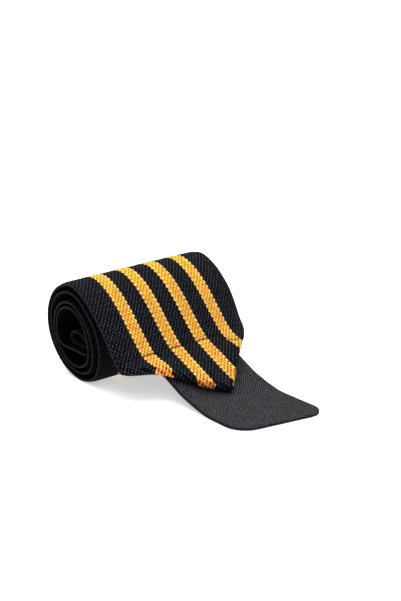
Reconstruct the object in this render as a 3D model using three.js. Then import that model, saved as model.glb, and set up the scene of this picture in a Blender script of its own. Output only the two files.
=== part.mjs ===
// A wrist wrap for weight lifting, lying rolled up on its side. A striped elastic band makes a little
// over three loose turns. Its free tail comes over the top of the roll and down its front. Both corners
// of the tail are folded under, which makes a point, and a thin hook tab is sewn below that point. A
// narrow thumb loop is sewn to the inner end of the band, in the hollow of the roll.
// The roll's axis lies along Y, the tail runs towards +X, and the wrap rests on z = 0.

import * as THREE from 'three';

// The elastic band
const bandWidth = 80;
const bandThickness = 1.9;

// The roll
const coreRadius = 13;
const layerGap = 0.35;
const looseGap = 3.7;
const rollFlatten = 0.3;

// The tail, measured from the roll's axis to the point. The two corners aren't folded alike.
const tailReach = 69;
const nearPointDepth = 30;
const farPointDepth = 36;
const tipOffset = 2;
const foldGap = 0.2;
const seamInset = 2;
const seamStep = 0.6;
const nearShoulderDrop = 1.5;
const farShoulderDrop = 4.5;
const shoulderDropReach = 13;
const tipLift = 0.5;

// How the wrap lies. The roll is a little larger at its far end, as a share of its size, and that fades
// out along the tail. Beside the tip, the side edges of the point and of the tab bow up.
const nearSwell = 0.015;
const farSwell = 0.048;
const swellAlong = { full: 10, end: 60 };
const edgeLift = 2.4;
const liftAcross = { start: 5, full: 25 };
const liftAlong = { start: 40, full: 50, falls: 62, end: 82 };

// The hook tab
const tabWidth = 45;
const tabThickness = 1.2;
const tabUnderlap = 36;
const tabBeyondPoint = 36.8;
const tabEndSkew = 9.5;
const tabCornerRadius = 9;
const tabClearance = 0.5;

// The thumb loop
const loopWidth = 10;
const loopThickness = 1.4;
const loopReach = 14.5;
const loopHeight = 6;
const loopInset = 2.5;
const loopEndInset = 1.5;
const loopClearance = 0.3;

// How finely the curves are cut into facets
const rollStep = 3.6;
const tailStep = 2.6;
const middleShares = [-0.75, -0.35, 0, 0.35, 0.75];
const tabStep = 3.8;
const tabColumns = [
  -1, -0.985, -0.94, -0.86, -0.75, -0.6, -0.42, -0.22, 0, 0.22, 0.42, 0.6, 0.75, 0.86, 0.94, 0.985, 1,
];
const loopStep = 1.6;
const widestEdge = 0.8;
const flatTolerance = 0.02;

// Each direction round the roll, in the order in which the band passes it from the inside out. The first
// turn has a radius, as a share of coreRadius. The later turns have the slack that they lie off the turn
// below, as a share of looseGap.
const rollRows = [
  { degrees: 180, core: 1.015, second: 0.00, third: 0.04, fourth: 0.06 },
  { degrees: 135, core: 1.070, second: 0.00, third: 0.47, fourth: 0.08 },
  { degrees: 90, core: 0.970, second: 0.12, third: 0.77, fourth: 0.42 },
  { degrees: 45, core: 0.855, second: 0.02, third: 0.80, fourth: 0.60 },
  { degrees: 0, core: 0.945, second: 0.31, third: 0.99, fourth: 0.60 },
  { degrees: -45, core: 1.225, second: 0.42, third: 0.55, fourth: 0.60 },
  { degrees: -90, core: 1.155, second: 0.00, third: 0.12, fourth: 0.60 },
  { degrees: -135, core: 1.070, second: 0.00, third: 0.03, fourth: 0.60 },
];
const turnsToTail = 3.25;

// The band's inner end crosses the hollow below the roll's axis, as shares of coreRadius from that axis
const innerEndRows = [
  { along: 0.79, up: -0.565 },
  { along: 0.40, up: -0.56 },
  { along: 0.00, up: -0.56 },
  { along: -0.33, up: -0.56 },
  { along: -0.62, up: -0.56 },
  { along: -0.83, up: -0.48 },
  { along: -0.965, up: -0.27 },
];

// The tail's fall: shares of tailReach along, and of the drop from the roll's top to the point
const tailRows = [
  { along: 0.136, up: 0.919 },
  { along: 0.276, up: 0.741 },
  { along: 0.409, up: 0.518 },
  { along: 0.523, up: 0.343 },
  { along: 0.622, up: 0.252 },
  { along: 0.737, up: 0.165 },
  { along: 0.854, up: 0.075 },
  { along: 0.927, up: 0.024 },
  { along: 1.000, up: 0.000 },
];

// The hook tab comes down to the floor past the point: shares of tabBeyondPoint and of tipLift
const tabRows = [
  { along: 0.10, up: 0.55 },
  { along: 0.20, up: 0.16 },
  { along: 0.30, up: 0.00 },
  { along: 0.65, up: 0.00 },
  { along: 1.00, up: 0.00 },
];

// The thumb loop's route: shares of loopReach towards its closed end, and of loopHeight. The last row
// lies on the first, where both ends of the strap are stitched down.
const loopRows = [
  { back: 0.00, up: 0.00 },
  { back: 0.40, up: 0.00 },
  { back: 0.78, up: 0.05 },
  { back: 0.98, up: 0.34 },
  { back: 0.93, up: 0.74 },
  { back: 0.66, up: 1.00 },
  { back: 0.34, up: 0.88 },
  { back: 0.12, up: 0.55 },
];

// How an edge of the cloth is rounded: shares of its depth inwards and of the full thickness there
const edgeRows = [
  { inset: 0.0, full: 0.38 },
  { inset: 0.3, full: 0.82 },
  { inset: 1.0, full: 1.00 },
];

// The blunt end of the point: lengths back from the tip, and thickness, as shares of the fold's radius
const tipRows = [
  { back: 1.6, full: 1.00 },
  { back: 0.8, full: 0.88 },
  { back: 0.35, full: 0.50 },
];

// Geometry helpers

function smoothValue(values, place) {
  const index = Math.min(Math.floor(place), values.length - 2);
  const share = place - index;
  const pick = (i) => values[Math.min(Math.max(i, 0), values.length - 1)];
  const before = pick(index - 1);
  const start = pick(index);
  const end = pick(index + 1);
  const after = pick(index + 2);
  const slopeStart = (end - before) / 2;
  const slopeEnd = (after - start) / 2;
  const rise = end - start;
  const square = 3 * rise - 2 * slopeStart - slopeEnd;
  const cube = slopeStart + slopeEnd - 2 * rise;
  return start + share * (slopeStart + share * (square + share * cube));
}

function curveThrough(points) {
  const curve = new THREE.CatmullRomCurve3(points, false, 'centripetal');
  curve.arcLengthDivisions = points.length * 40;
  return curve;
}

// The place and the outward direction at a length along a curve in the XZ plane
function frameAt(curve, length) {
  const share = THREE.MathUtils.clamp(length / curve.getLength(), 0, 1);
  const tangent = curve.getTangentAt(share);
  return {
    point: curve.getPointAt(share),
    outward: new THREE.Vector3(-tangent.z, 0, tangent.x),
  };
}

function signedVolume(positions, indices) {
  const corner = [new THREE.Vector3(), new THREE.Vector3(), new THREE.Vector3()];
  let total = 0;
  for (let i = 0; i < indices.length; i += 3) {
    corner.forEach((v, n) => v.fromArray(positions, 3 * indices[i + n]));
    total += corner[0].dot(corner[1].cross(corner[2])) / 6;
  }
  return total;
}

// A closed body through rings of points. Every ring has its points in the same order, with its first
// half along one face and its second half back along the other.
function loft(rings) {
  const count = rings[0].length;
  const positions = rings.flatMap((ring) => ring.flatMap((p) => [p.x, p.y, p.z]));
  const indices = [];
  const quad = (a, b, c, d) => indices.push(a, b, c, a, c, d);
  for (let r = 0; r < rings.length - 1; r += 1) {
    for (let i = 0; i < count; i += 1) {
      const next = (i + 1) % count;
      quad(r * count + i, r * count + next, (r + 1) * count + next, (r + 1) * count + i);
    }
  }
  const last = (rings.length - 1) * count;
  for (let i = 0; i < count / 2 - 1; i += 1) {
    const mirror = count - 1 - i;
    quad(i, mirror, mirror - 1, i + 1);
    quad(last + i, last + i + 1, last + mirror - 1, last + mirror);
  }
  if (signedVolume(positions, indices) < 0) indices.reverse();
  const geometry = new THREE.BufferGeometry();
  geometry.setAttribute('position', new THREE.Float32BufferAttribute(positions, 3));
  geometry.setIndex(indices);
  return geometry;
}

// The values from start to end in even steps no longer than step
function steps(start, end, step) {
  const count = Math.ceil((end - start) / step);
  return Array.from({ length: count + 1 }, (_, i) => start + ((end - start) * i) / count);
}

// The roll

function rollRadii() {
  const turns = rollRows.length;
  const slackOf = [null, 'second', 'third', 'fourth'];
  const radii = rollRows.map((row) => row.core * coreRadius);
  for (let k = turns; k <= turnsToTail * turns + 2; k += 1) {
    const slack = rollRows[k % turns][slackOf[Math.floor(k / turns)]];
    radii.push(radii[k - turns] + bandThickness + layerGap + slack * looseGap);
  }
  return radii;
}

function rollPoint(radii, place) {
  const radius = smoothValue(radii, place);
  const angle = Math.PI - (place / rollRows.length) * 2 * Math.PI;
  return new THREE.Vector3(radius * Math.cos(angle), 0, radius * Math.sin(angle));
}

function rollPoints() {
  const radii = rollRadii();
  const places = steps(0, turnsToTail * rollRows.length, 0.5);
  return places.map((place) => rollPoint(radii, place));
}

// The band's centre line, from its inner end out to the point

const turned = rollPoints();
const lowest = Math.min(...turned.map((p) => p.z));
const axisHeight = bandThickness / 2 - rollFlatten - lowest;
const pointHeight = tipLift + tabThickness + tabClearance + bandThickness * 1.5 + foldGap;
const rollTop = axisHeight + turned[turned.length - 1].z;

function bandPoints() {
  const inner = innerEndRows.map((row) => new THREE.Vector3(
    row.along * coreRadius, 0, axisHeight + row.up * coreRadius));
  const roll = turned.map((p) => new THREE.Vector3(p.x, 0, p.z + axisHeight));
  const tail = tailRows.map((row) => new THREE.Vector3(
    row.along * tailReach, 0, pointHeight + row.up * (rollTop - pointHeight)));
  return [...inner, ...roll, ...tail];
}

const bandCurve = curveThrough(bandPoints());
const pointAt = bandCurve.getLength();

// The two sides of the point. A fold line runs from each shoulder to the tip.
function foldSide(side, depth, drop) {
  const reach = bandWidth / 2 - side * tipOffset;
  return { shoulderAt: pointAt - depth, slope: Math.atan2(depth, reach), drop };
}

const nearSide = foldSide(-1, nearPointDepth, nearShoulderDrop);
const farSide = foldSide(1, farPointDepth, farShoulderDrop);

// The reach of a fold line across the band, from the tip towards its own side
function foldReach({ slope }, length) {
  return (pointAt - length) / Math.tan(slope);
}

// How far the band's edge hangs below its middle, near the shoulder of that side
function edgeDrop(length, across) {
  const { shoulderAt, drop } = across < 0 ? nearSide : farSide;
  const away = (length - shoulderAt) / shoulderDropReach;
  return drop * Math.exp(-away * away) * Math.abs(across / (bandWidth / 2)) ** 6;
}

// A place as the wrap lies: swollen at the far end, bowed up beside the tip, never below the surface
function settled(place) {
  const { smoothstep } = THREE.MathUtils;
  const growth = nearSwell + (farSwell - nearSwell) * (place.y / bandWidth + 0.5);
  const swell = 1 + growth * (1 - smoothstep(place.x, swellAlong.full, swellAlong.end));
  const bow = smoothstep(Math.abs(place.y), liftAcross.start, liftAcross.full)
    * smoothstep(place.x, liftAlong.start, liftAlong.full)
    * (1 - smoothstep(place.x, liftAlong.falls, liftAlong.end));
  return place.set(place.x * swell, place.y, Math.max(place.z * swell + edgeLift * bow, 0));
}

// A place on the band
function onBand(length, across, lift) {
  const { point, outward } = frameAt(bandCurve, length);
  return settled(point.addScaledVector(outward, lift - edgeDrop(length, across)).setY(across));
}

// A strap with square edges, through stations along its route
function strap(lengths, near, far, thickness, place) {
  return loft(lengths.map((length) => [
    place(length, near, thickness / 2),
    place(length, far, thickness / 2),
    place(length, far, -thickness / 2),
    place(length, near, -thickness / 2),
  ]));
}

// A section across the band. Its two edges are round, and each is as deep as the station says.
function bandRing({ length, left, right, leftDepth, rightDepth, middle, thickness }) {
  const room = (right - left) / 2;
  const centre = (left + right) / 2;
  const leftInset = Math.min(leftDepth, room * widestEdge);
  const rightInset = Math.min(rightDepth, room * widestEdge);
  const columns = [
    ...edgeRows.map(({ inset, full }) => ({ across: left + inset * leftInset, full })),
    ...middleShares.map((share) => ({
      across: centre + share * (room - (share < 0 ? leftInset : rightInset)), full: 1 })),
    ...edgeRows.map(({ inset, full }) => ({ across: right - inset * rightInset, full })).reverse(),
  ];
  const face = (side) => columns.map(({ across, full }) => (
    onBand(length, across, middle + (side * full * thickness) / 2)));
  return [...face(1), ...face(-1).reverse()];
}

// From the seam to the tip the band lies double, because both corners are folded under
function bandGeometry() {
  const foldThickness = 2 * bandThickness + foldGap;
  const foldMiddle = -(bandThickness + foldGap) / 2;
  const plain = { middle: 0, thickness: bandThickness, depthOf: () => bandThickness / 2 };
  const folded = {
    middle: foldMiddle,
    thickness: foldThickness,
    depthOf: ({ slope }) => foldThickness / 2 / Math.sin(slope),
  };
  const station = (length, { middle, thickness, depthOf }, full = 1) => ({
    length,
    left: Math.max(-bandWidth / 2, tipOffset - foldReach(nearSide, length)),
    right: Math.min(bandWidth / 2, tipOffset + foldReach(farSide, length)),
    leftDepth: depthOf(nearSide),
    rightDepth: depthOf(farSide),
    middle,
    thickness: full * thickness,
  });
  const tailStart = farSide.shoulderAt - tailReach / 2;
  const seamAt = nearSide.shoulderAt - seamInset;
  const bluntFrom = pointAt - (tipRows[0].back * foldThickness) / 2;
  return loft([
    ...steps(0, tailStart, rollStep).map((length) => station(length, plain)),
    ...steps(tailStart, seamAt, tailStep).slice(1).map((length) => station(length, plain)),
    ...steps(seamAt + seamStep, bluntFrom, tailStep).slice(0, -1)
      .map((length) => station(length, folded)),
    ...tipRows.map(({ back, full }) => (
      station(pointAt - (back * foldThickness) / 2, folded, full))),
  ].map(bandRing));
}

// The hook tab follows the underside of the flaps and then comes down to the floor

const tabMiddle = -(1.5 * bandThickness + foldGap + tabClearance + tabThickness / 2);

function tabCurve() {
  const under = steps(pointAt - tabUnderlap, pointAt, 6).map((length) => {
    const { point, outward } = frameAt(bandCurve, length);
    return point.addScaledVector(outward, tabMiddle);
  });
  const tip = under[under.length - 1];
  const longest = tabBeyondPoint + tabEndSkew / 2;
  const beyond = tabRows.map((row) => new THREE.Vector3(
    tip.x + row.along * longest, 0, tabThickness / 2 + row.up * tipLift));
  return curveThrough([...under, ...beyond]);
}

// The tab's outline is worked out on the flat: its end is cut at a slant and has round corners
function tabGeometry() {
  const curve = tabCurve();
  const total = curve.getLength();
  const floor = tabThickness / 2;
  const place = (length, across, lift) => {
    const { point, outward } = frameAt(curve, length);
    const up = point.z < floor + flatTolerance ? new THREE.Vector3(0, 0, 1) : outward;
    const spot = point.setZ(Math.max(point.z, floor));
    return settled(spot.addScaledVector(up, lift).setY(across));
  };
  const half = tabWidth / 2;
  const columns = tabColumns.map((share) => share * half);
  const endAt = columns.map((across) => {
    const past = Math.max(0, Math.abs(across) - (half - tabCornerRadius));
    const round = tabCornerRadius - Math.sqrt(tabCornerRadius ** 2 - past ** 2);
    return total - (tabEndSkew / 2) * (1 - across / half) - round;
  });
  const shortest = Math.min(...endAt) - tabCornerRadius;
  const lengths = steps(0, shortest, tabStep);
  const rows = [...lengths.map((length) => columns.map(() => length)), endAt];
  return loft(rows.map((row) => {
    const upper = columns.map((across, i) => place(row[i], across, tabThickness / 2));
    const lower = columns.map((across, i) => place(row[i], across, -tabThickness / 2));
    return [...upper, ...lower.reverse()];
  }));
}

// The thumb loop stands on the band's inner end, near the mouth of the hollow

function loopGeometry() {
  const first = innerEndRows[0];
  const startX = first.along * coreRadius - loopEndInset;
  const endTop = axisHeight + first.up * coreRadius + bandThickness / 2;
  const startZ = endTop + loopClearance + loopThickness / 2;
  const seatRow = { back: 0, up: (loopThickness + loopClearance) / loopHeight };
  const points = [...loopRows, seatRow].map((row) => new THREE.Vector3(
    startX - row.back * loopReach, 0, startZ + row.up * loopHeight));
  const curve = curveThrough(points);
  const place = (length, across, lift) => {
    const { point, outward } = frameAt(curve, length);
    return settled(point.addScaledVector(outward, lift).setY(across));
  };
  const near = -bandWidth / 2 + loopInset;
  return strap(steps(0, curve.getLength(), loopStep), near, near + loopWidth, loopThickness, place);
}

// The assembly

const blackWeb = new THREE.MeshStandardMaterial({ color: 0x1a1a1c, roughness: 0.9, metalness: 0 });
const greyHook = new THREE.MeshStandardMaterial({ color: 0x2b2b2e, roughness: 0.7, metalness: 0 });
const blackTape = new THREE.MeshStandardMaterial({ color: 0x202022, roughness: 0.9, metalness: 0 });

function piece(name, geometry, material) {
  geometry.computeVertexNormals();
  const mesh = new THREE.Mesh(geometry, material);
  mesh.name = name;
  return mesh;
}

const wrap = new THREE.Group();
wrap.add(
  piece('elastic_band', bandGeometry(), blackWeb),
  piece('hook_tab', tabGeometry(), greyHook),
  piece('thumb_loop', loopGeometry(), blackTape),
);

// The origin is under the middle of the wrap, on the surface it lies on
const extent = new THREE.Box3().setFromObject(wrap);
wrap.children.forEach((mesh) => {
  mesh.position.x = -(extent.min.x + extent.max.x) / 2;
});

export default wrap;
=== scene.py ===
# %% [markdown]
# A wrist wrap, rolled up and lying on its side. It is one long band of knitted elastic with a hook tab
# sewn to one end and a small thumb loop at the other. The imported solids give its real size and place,
# and this lesson builds the cloth around them: the knit, the fold, the seams and the light.

# %% Load the frame
import math
from functools import partial

import bmesh
import bpy
import numpy as np
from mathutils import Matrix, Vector


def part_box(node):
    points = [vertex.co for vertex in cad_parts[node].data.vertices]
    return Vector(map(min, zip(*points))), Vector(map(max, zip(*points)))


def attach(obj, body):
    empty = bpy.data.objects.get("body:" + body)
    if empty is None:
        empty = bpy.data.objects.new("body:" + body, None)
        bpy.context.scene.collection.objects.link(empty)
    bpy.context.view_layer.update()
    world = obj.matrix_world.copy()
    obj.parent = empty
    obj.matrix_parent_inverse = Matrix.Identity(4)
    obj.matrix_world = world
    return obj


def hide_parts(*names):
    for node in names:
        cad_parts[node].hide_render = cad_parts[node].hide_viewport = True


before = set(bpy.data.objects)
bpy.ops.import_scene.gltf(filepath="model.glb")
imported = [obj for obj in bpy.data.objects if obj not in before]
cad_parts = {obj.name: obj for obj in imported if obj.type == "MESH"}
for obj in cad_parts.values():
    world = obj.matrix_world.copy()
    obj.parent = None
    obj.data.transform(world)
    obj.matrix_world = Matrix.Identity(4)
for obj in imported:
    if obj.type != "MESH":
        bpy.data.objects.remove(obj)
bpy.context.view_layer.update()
print("the frame's solids are", sorted(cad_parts))

# %% [markdown]
# Lengths are written in millimetres, as a maker of such a wrap would give them, and one factor turns
# them into Blender's metres. Colours are written as the hex values that a screen shows, and one
# function turns them into the linear values of a shader.

# %% Units and colours
MM = 0.001


def linear(hex_colour):
    """An sRGB hex value as the linear colour that a shader socket takes."""
    parts = [int(hex_colour[i : i + 2], 16) / 255 for i in (1, 3, 5)]
    return (*[c / 12.92 if c <= 0.04045 else ((c + 0.055) / 1.055) ** 2.4 for c in parts], 1.0)


def smoothstep(low, high, value):
    """From 0 at low to 1 at high, with a soft start and end."""
    share = np.clip((value - low) / (high - low), 0, 1)
    return share * share * (3 - 2 * share)


# %% [markdown]
# The camera comes first, because every later choice is judged through it. A product photo like this
# one is taken from a little above, with a long lens aimed at the middle of the wrap.

# %% Camera
CAMERA_AZIMUTH = 50.11
CAMERA_ELEVATION = 17.84
CAMERA_DISTANCE = 520
CAMERA_TARGET = (-1.88, 5.7, 39.3)
FOCAL_LENGTH = 66.1


def new_object(name, data):
    """An object in the scene."""
    thing = bpy.data.objects.new(name, data)
    bpy.context.scene.collection.objects.link(thing)
    return thing


def add_camera():
    """A camera that looks at the target. Azimuth 0 looks along +Y."""
    azimuth = math.radians(CAMERA_AZIMUTH)
    elevation = math.radians(CAMERA_ELEVATION)
    level = math.cos(elevation)
    back = np.array([math.sin(azimuth) * level, -math.cos(azimuth) * level, math.sin(elevation)])
    data = bpy.data.cameras.new("camera")
    data.lens = FOCAL_LENGTH
    camera = new_object("camera", data)
    camera.location = (np.array(CAMERA_TARGET) + back * CAMERA_DISTANCE) * MM
    camera.rotation_euler = (math.pi / 2 - elevation, 0, azimuth)
    bpy.context.scene.camera = camera
    return camera


print("camera at", [round(v, 3) for v in add_camera().location])

# %% [markdown]
# The band's route is the wrap's skeleton. Seen from the end of the roll it is one line: it starts in
# the hollow, makes a little over three turns, leaves the top of the roll and falls to the surface.
# The turns have to lie a cloth's thickness apart, so they aren't drawn by hand but worked out one by
# one, from the same sizes as the solids.

# %% Sizes of the band and the roll
BAND_WIDTH = 80
BAND_THICKNESS = 1.9
CORE_RADIUS = 13
LAYER_GAP = 0.35
LOOSE_GAP = 3.7
ROLL_FLATTEN = 0.3
TAIL_REACH = 69
TIP_LIFT = 0.5
FOLD_GAP = 0.2
TAB_THICKNESS = 1.2
TAB_CLEARANCE = 0.5
TURNS_TO_TAIL = 3.25
# Every eighth of a turn: a share of the core's radius, and of the loose gap in turns two to four.
ROLL_ROWS = [
    (1.015, 0.00, 0.04, 0.06), (1.070, 0.00, 0.47, 0.08),
    (0.970, 0.12, 0.77, 0.42), (0.855, 0.02, 0.80, 0.60),
    (0.945, 0.31, 0.99, 0.60), (1.225, 0.42, 0.55, 0.60),
    (1.155, 0.00, 0.12, 0.60), (1.070, 0.00, 0.03, 0.60),
]
# From the loose end to the first turn: x and z from the roll's axis, in core radii.
INNER_END_ROWS = [
    (0.79, -0.565), (0.40, -0.56), (0.00, -0.56), (-0.33, -0.56),
    (-0.62, -0.56), (-0.83, -0.48), (-0.965, -0.27),
]
# From the roll's top to the tip: a share of the tail's reach, and of the roll top's height over the tip.
TAIL_ROWS = [
    (0.136, 0.919), (0.276, 0.741), (0.409, 0.518), (0.523, 0.343), (0.622, 0.252),
    (0.737, 0.165), (0.854, 0.075), (0.927, 0.024), (1.000, 0.000),
]

# %% [markdown]
# Two kinds of curve are needed: one through evenly spaced values, for the roll's radius, and one
# through points, for the finished line. Blender's own curves could do the second, but the cloth needs
# the line's length and direction at every point, and plain arrays give those at once.

# %% Curves in the plane of the roll
POINTS_PER_SPAN = 24


def cubic(start, end, slope_start, slope_end, share):
    """A smooth way from start to end that begins and ends with the given slopes."""
    rise = end - start
    square = 3 * rise - 2 * slope_start - slope_end
    cube = slope_start + slope_end - 2 * rise
    return start + share * (slope_start + share * (square + share * cube))


def smooth_value(values, place):
    """A smooth line through evenly spaced values."""
    index = min(int(place), len(values) - 2)
    before, start, end, after = (
        values[min(max(i, 0), len(values) - 1)] for i in range(index - 1, index + 3)
    )
    return cubic(start, end, (end - before) / 2, (after - start) / 2, place - index)


def curve_through(points):
    """A centripetal curve through points, as dense points along it."""
    points = np.array(points, float)
    ends = [2 * points[0] - points[1], *points, 2 * points[-1] - points[-2]]
    share = np.linspace(0, 1, POINTS_PER_SPAN, endpoint=False)[:, None]
    spans = []
    for before, start, end, after in zip(ends, ends[1:], ends[2:], ends[3:]):
        legs = ((before, start), (start, end), (end, after))
        first, middle, last = (math.sqrt(np.linalg.norm(b - a)) for a, b in legs)
        slope_start = (start - before) / first - (end - before) / (first + middle) + (end - start) / middle
        slope_end = (end - start) / middle - (after - start) / (middle + last) + (after - end) / last
        spans.append(cubic(start, end, slope_start * middle, slope_end * middle, share))
    return np.vstack([*spans, points[-1:]])


class Route:
    """A line in the XZ plane that knows its own length."""

    def __init__(self, points):
        self.points = points
        steps = np.hypot(*np.diff(points, axis=0).T)
        self.lengths = np.concatenate([[0], np.cumsum(steps)])
        self.total = self.lengths[-1]
        slopes = np.gradient(points, self.lengths, axis=0)
        self.slopes = slopes / np.linalg.norm(slopes, axis=1)[:, None]

    def at(self, length):
        """The place x, z at a length along the line, and the line's direction x, z there."""
        columns = (*self.points.T, *self.slopes.T)
        return [np.interp(length, self.lengths, column) for column in columns]


# %% The band's route
def roll_points():
    """The turns, from the core outwards. Each lies a cloth's thickness and its slack past the last."""
    per_turn = len(ROLL_ROWS)
    last = TURNS_TO_TAIL * per_turn
    radii = [row[0] * CORE_RADIUS for row in ROLL_ROWS]
    for k in range(per_turn, int(last) + 3):
        slack = ROLL_ROWS[k % per_turn][k // per_turn]
        radii.append(radii[k - per_turn] + BAND_THICKNESS + LAYER_GAP + slack * LOOSE_GAP)
    places = np.linspace(0, last, round(2 * last) + 1)
    radius = np.array([smooth_value(radii, place) for place in places])
    angle = math.pi - places / per_turn * 2 * math.pi
    return np.column_stack([radius * np.cos(angle), radius * np.sin(angle)])


turned = roll_points()
axis_height = BAND_THICKNESS / 2 - ROLL_FLATTEN - turned[:, 1].min()
point_height = TIP_LIFT + TAB_THICKNESS + TAB_CLEARANCE + BAND_THICKNESS * 1.5 + FOLD_GAP
roll_top = axis_height + turned[-1, 1]
inner_end = np.array(INNER_END_ROWS) * CORE_RADIUS + (0, axis_height)
tail = np.array([
    (along * TAIL_REACH, point_height + up * (roll_top - point_height)) for along, up in TAIL_ROWS
])
band_route = Route(curve_through(np.vstack([inner_end, turned + (0, axis_height), tail])))
POINT_AT = band_route.total
print(f"the band is {POINT_AT:.0f} mm long")

# %% [markdown]
# A real roll isn't a perfect spiral pushed along a line. This one is a little larger at its far end, and
# beside the tip the edges of the point and of the tab bow up. One function gives every piece the
# same small changes, so that the layers still fit each other.

# %% How the wrap lies
NEAR_SWELL = 0.015
FAR_SWELL = 0.048
SWELL_FADES = (10, 60)
EDGE_LIFT = 2.4
LIFT_ACROSS = (5, 25)
LIFT_STARTS = (40, 50)
LIFT_FALLS = (62, 82)


def settled(x, y, z):
    """A place as the wrap lies: x from the roll's axis, y across and z up, in millimetres."""
    growth = NEAR_SWELL + (FAR_SWELL - NEAR_SWELL) * (y / BAND_WIDTH + 0.5)
    swell = 1 + growth * (1 - smoothstep(*SWELL_FADES, x))
    bow = smoothstep(*LIFT_ACROSS, np.abs(y)) * smoothstep(*LIFT_STARTS, x)
    bow = bow * (1 - smoothstep(*LIFT_FALLS, x))
    x, z = x * swell, np.maximum(z * swell + EDGE_LIFT * bow, 0)
    return np.column_stack([x + AXIS_X, y, z])


outermost = (band_route.points[:, 0].min() - BAND_THICKNESS / 2) * (1 + FAR_SWELL)
AXIS_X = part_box("elastic_band")[0].x / MM - outermost
print(f"the roll's axis is at x = {AXIS_X:.2f} mm")

# %% [markdown]
# The tail's end is folded like a paper plane's nose: both corners go under, along a line from each
# shoulder to the tip. The two corners of the real one aren't folded alike. Rather than modelling the
# folded shape, the flat cloth is bent by a function: what lies past a fold line is rolled round a
# small radius and laid back underneath, so the stripes run round the fold by themselves.

# %% Sizes of the folded point
NEAR_POINT_DEPTH = 30
FAR_POINT_DEPTH = 36
TIP_OFFSET = 2
NEAR_SHOULDER_DROP = 2.8
FAR_SHOULDER_DROP = 4.5
SHOULDER_DROP_REACH = 13
SHOULDER_DROP_POWER = 6
CLOTH_THICKNESS = 2.0
FOLD_RADIUS = (CLOTH_THICKNESS + FOLD_GAP) / 2
TIP = np.array([TIP_OFFSET, POINT_AT])


def fold_side(side, depth, drop):
    """One corner's fold: the way out across it, and where and how far its shoulder hangs."""
    reach = BAND_WIDTH / 2 - side * TIP_OFFSET
    slope = math.atan2(depth, reach)
    outward = np.array([side * math.sin(slope), math.cos(slope)])
    return {"side": side, "outward": outward, "shoulder_at": POINT_AT - depth, "drop": drop}


NEAR_FOLD = fold_side(-1, NEAR_POINT_DEPTH, NEAR_SHOULDER_DROP)
FAR_FOLD = fold_side(1, FAR_POINT_DEPTH, FAR_SHOULDER_DROP)


def edge_drop(length, across):
    """How far the band's edges hang below its middle near the shoulders."""
    near = across < 0
    shoulder = np.where(near, NEAR_FOLD["shoulder_at"], FAR_FOLD["shoulder_at"])
    drop = np.where(near, NEAR_FOLD["drop"], FAR_FOLD["drop"])
    away = (length - shoulder) / SHOULDER_DROP_REACH
    return drop * np.exp(-away * away) * np.abs(across / (BAND_WIDTH / 2)) ** SHOULDER_DROP_POWER


def bend_under(flat, lift, normal, fold):
    """Bends what lies past a fold line round the fold's radius and back underneath."""
    outward = fold["outward"]
    past = (flat - TIP) @ outward + FOLD_RADIUS + CLOTH_THICKNESS / 2
    # Cloth that the other fold has laid underneath isn't rolled again. It stops at this fold's line.
    under = np.clip(-lift / (2 * FOLD_RADIUS), 0, 1)
    angle = np.clip(past / FOLD_RADIUS, 0, math.pi) * (1 - under)
    half_turn = math.pi * FOLD_RADIUS
    rolled = np.where(past < half_turn, FOLD_RADIUS * np.sin(angle), half_turn - past)
    bent = np.where(past <= 0, past, rolled)
    moved = (1 - under) * bent + under * np.minimum(past, 0)
    flat = flat + (moved - past)[:, None] * outward
    lift = lift - (1 - under) * FOLD_RADIUS * (1 - np.cos(angle))
    # The cloth's upward direction turns with it, about the fold line.
    cos, sin = np.cos(angle)[:, None], np.sin(angle)[:, None]
    sideways = np.column_stack([np.tile(outward, (len(flat), 1)), np.zeros(len(flat))])
    up = np.array([0, 0, 1.0])
    towards = (normal * sideways).sum(1)[:, None]
    along_fold = normal - towards * sideways
    rise = along_fold[:, 2:]
    along_fold = along_fold - rise * up
    normal = along_fold + sideways * (towards * cos + rise * sin) + up * (rise * cos - towards * sin)
    return flat, lift, normal


# %% [markdown]
# The knit is the finish that everyone sees first. Elastic of this kind is warp knitted: rows of loops
# run along the band, each row half a loop on from the next, and small holes show between them. The
# loops are about 2.5 mm long and 1 mm wide. One height function moves the mesh's own points here, and
# the same waves drive the bump and the colours in the material later.

# %% The knit's relief
LOOP_LENGTH = 2.54
LOOP_WIDTH = 1.04
LOOP_HEIGHT = 0.16
PLAIN_LOOP_SHARE = 0.35
STRIPES = 4
STRIPE_SPACING = BAND_WIDTH / (STRIPES + 1)
STRIPE_WIDTH = 0.085 * BAND_WIDTH
STRIPED_HALF = STRIPES / 2 * STRIPE_SPACING
STRIPE_RISE = 0.10
STRIPE_MARGIN = 0.4
SEAM_BACK = 33.5
SEAM_ASKEW = 7
SEAM_TURNS = (15, 25)
SEAM_WIDTH = 0.9
SEAM_DEPTH = 0.45
FOLD_FLATTENS = 0.6
FLATTENED_REACH = 3.5


def from_stripe(across):
    """The distance to the middle of the nearest stripe."""
    away = np.abs((across + STRIPE_SPACING / 2) % STRIPE_SPACING - STRIPE_SPACING / 2)
    away = np.abs(STRIPE_SPACING / 2 - away)
    return np.where(np.abs(across) < STRIPED_HALF, away, STRIPE_SPACING)


def loop_wave(across, along):
    """From -1 in the holes between the loops to about 1 on the loops."""
    a = along / LOOP_LENGTH
    b = across / LOOP_WIDTH
    wave = np.cos(2 * np.pi * (a + b / 2)) + np.cos(2 * np.pi * (a - b / 2))
    return -wave / 2


def seam_line(across):
    """Where the cross seam lies along the band: it runs askew past the fourth stripe."""
    return POINT_AT - SEAM_BACK + SEAM_ASKEW * smoothstep(*SEAM_TURNS, across)


def near_fold(across, along):
    """1 on a fold line, falling to 0 beside it."""
    flat = np.column_stack([across, along]) - TIP
    away = np.minimum(*(np.abs(flat @ fold["outward"]) for fold in (NEAR_FOLD, FAR_FOLD)))
    return smoothstep(FLATTENED_REACH, 0, away)


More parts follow.
